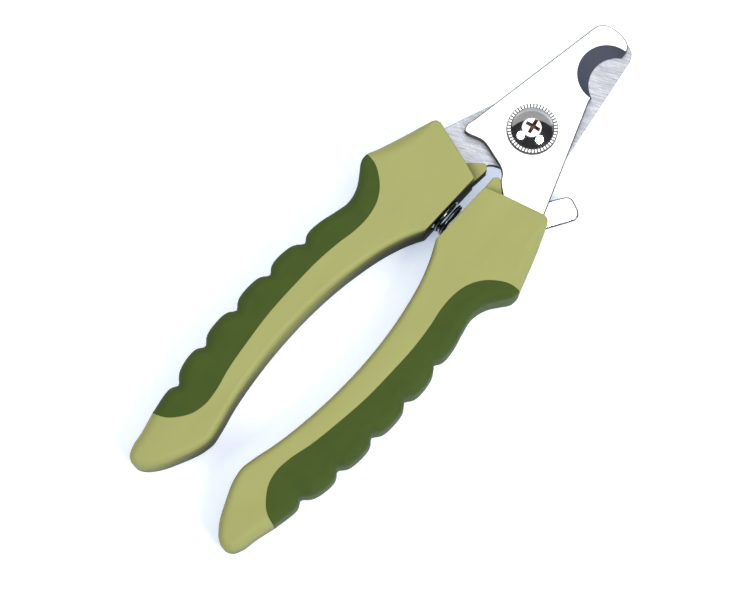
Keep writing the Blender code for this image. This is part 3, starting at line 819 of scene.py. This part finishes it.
def make_pieces():
    """Every piece, each but the spring riding its body; the hidden rivet and washer keep their CAD shapes.
    """
    for side, body, pose in (("right", "right_half", PLAIN), ("left", "left_half", TURNED)):
        core_piece(side + "_handle", side + "_handle_core", body, pose)
        grip_piece(side + "_soft_grip", side + "_grip", body, pose)
    blade_piece("front_cutter", "front_blade", "right_half", PLAIN, 0.9)
    blade_piece("back_cutter", "back_blade", "left_half", TURNED, 1.09)
    screw_piece()
    ring_piece()
    nut_piece()
    washer_piece()
    lever_piece()
    spring_piece()
    for node in ("lock_rivet", "lock_washer"):
        frame["nodes"][node].data.materials.clear()
        frame["nodes"][node].data.materials.append(BRIGHT)


# ---------------------------------------------------------------- camera, floor and lights

VIEW_TILT = math.radians(10.3)  # of the camera from straight down
VIEW_TURN = math.radians(47.35)  # of the tool's +Y from the picture's right
VIEW_DISTANCE = 0.600
VIEW_CENTRE = (41.81, 44.37)  # the pivot's place from the picture's middle, in millimetres
LENS = 117.8718
SENSOR = 36.0
FLOOR_HALF, FLOOR_THICK = 1500.0, 5.0  # in millimetres
ROOM_COLOUR = (0.86, 0.92, 1.0, 1.0)
WALL_FADE = (0.22, 0.36, 0.55, 0.035)  # from the walls' strength at a low direction to the room's above it
LIGHTS = (  # name, direction in the picture, distance and size in metres, brightness, colour, shape
    ("overhead", (0.0, 0.18, 0.98), 0.35, (0.42, 0.42), 1.75, (1.0, 0.99, 0.97), "ELLIPSE"),
    ("rear", (0.0, 0.83, 0.56), 0.9, (3.4, 0.62), 0.36, (1.0, 0.98, 0.96), "RECTANGLE"),
    ("lower_left", (-0.596, -0.222, 0.773), 0.8, (0.36, 0.36), 6.0, (1.0, 1.0, 1.0), "ELLIPSE"),
    ("lower_right", (0.43, -0.466, 0.774), 0.8, (0.36, 0.36), 17.0, (1.0, 1.0, 1.0), "ELLIPSE"),
)


def picture_to_world(v):
    """Turns a direction given as (right, up, towards the viewer) of the picture's table plane."""
    c, s = math.cos(VIEW_TURN), math.sin(VIEW_TURN)
    return Vector((v[0] * s - v[1] * c, v[0] * c + v[1] * s, v[2]))


AIM = PIVOT - picture_to_world((VIEW_CENTRE[0] * MM, VIEW_CENTRE[1] * MM, 0.0))


def look(made, place, target, up):
    """Places an object so that its -Z points at the target and its +Y along up."""
    back = (place - target).normalized()
    right = up.cross(back).normalized()
    axes = Matrix((right, back.cross(right), back)).transposed().to_4x4()
    made.matrix_world = Matrix.Translation(place) @ axes


def make_camera():
    data = bpy.data.cameras.new("camera")
    data.sensor_width = SENSOR
    data.lens = LENS
    data.clip_start = 0.01
    camera = bpy.data.objects.new("camera", data)
    bpy.context.scene.collection.objects.link(camera)
    away = picture_to_world((0.0, -math.sin(VIEW_TILT), math.cos(VIEW_TILT)))
    look(camera, AIM + away * VIEW_DISTANCE, AIM, picture_to_world((0.0, 1.0, 0.0)))
    bpy.context.scene.camera = camera


def make_light(name, toward, distance, size, radiance, colour, shape):
    """A softbox facing the tool's pivot, of a given brightness when looked at."""
    data = bpy.data.lights.new(name, "AREA")
    data.shape = shape
    data.size, data.size_y = size
    area = size[0] * size[1] * (math.pi / 4 if shape == "ELLIPSE" else 1.0)
    data.energy = radiance * math.pi * area
    data.color = colour
    light = bpy.data.objects.new(name, data)
    bpy.context.scene.collection.objects.link(light)
    place = PIVOT + picture_to_world(toward).normalized() * distance
    look(light, place, PIVOT, picture_to_world((0.0, 1.0, 0.1)))


def make_floor():
    """A pale paper table that glows a little, so that the shadows on it stay light and bluish."""
    half = FLOOR_HALF
    corners = [(-half, -half), (half, -half), (half, half), (-half, half)]
    floor = plate("floor", corners, -FLOOR_THICK, 0.0)
    shader = Shader("pale_paper", (0.77, 0.77, 0.77), 0.8, Specular_IOR_Level=0.1,
                    Emission_Color=(0.68, 0.80, 1.0, 1.0), Emission_Strength=0.54)
    fibres = shader.noise((1.5, 1.5, 1.5), detail=4.0)
    paper = shader.ramp(fibres, (0.765, 0.765, 0.765), (0.775, 0.775, 0.775))
    shader.link(paper, shader.surface.inputs["Base Color"])
    floor.data.materials.append(shader.material)


def make_room():
    """A dark room with pale low walls."""
    world = bpy.data.worlds.new("studio")
    bpy.context.scene.world = world
    world.use_nodes = True
    tree = world.node_tree
    sky = tree.nodes["Background"]
    sky.inputs["Color"].default_value = ROOM_COLOUR
    direction = tree.nodes.new("ShaderNodeSeparateXYZ")
    tree.links.new(tree.nodes.new("ShaderNodeTexCoord").outputs["Generated"], direction.inputs["Vector"])
    walls = tree.nodes.new("ShaderNodeMapRange")
    for socket, value in zip(("From Min", "From Max", "To Min", "To Max"), WALL_FADE):
        walls.inputs[socket].default_value = value
    tree.links.new(direction.outputs["Z"], walls.inputs["Value"])
    tree.links.new(walls.outputs["Result"], sky.inputs["Strength"])


def make_studio():
    make_floor()
    make_room()
    for light in LIGHTS:
        make_light(*light)
    bpy.context.scene.view_settings.view_transform = "Standard"


make_pieces()
make_camera()
make_studio()
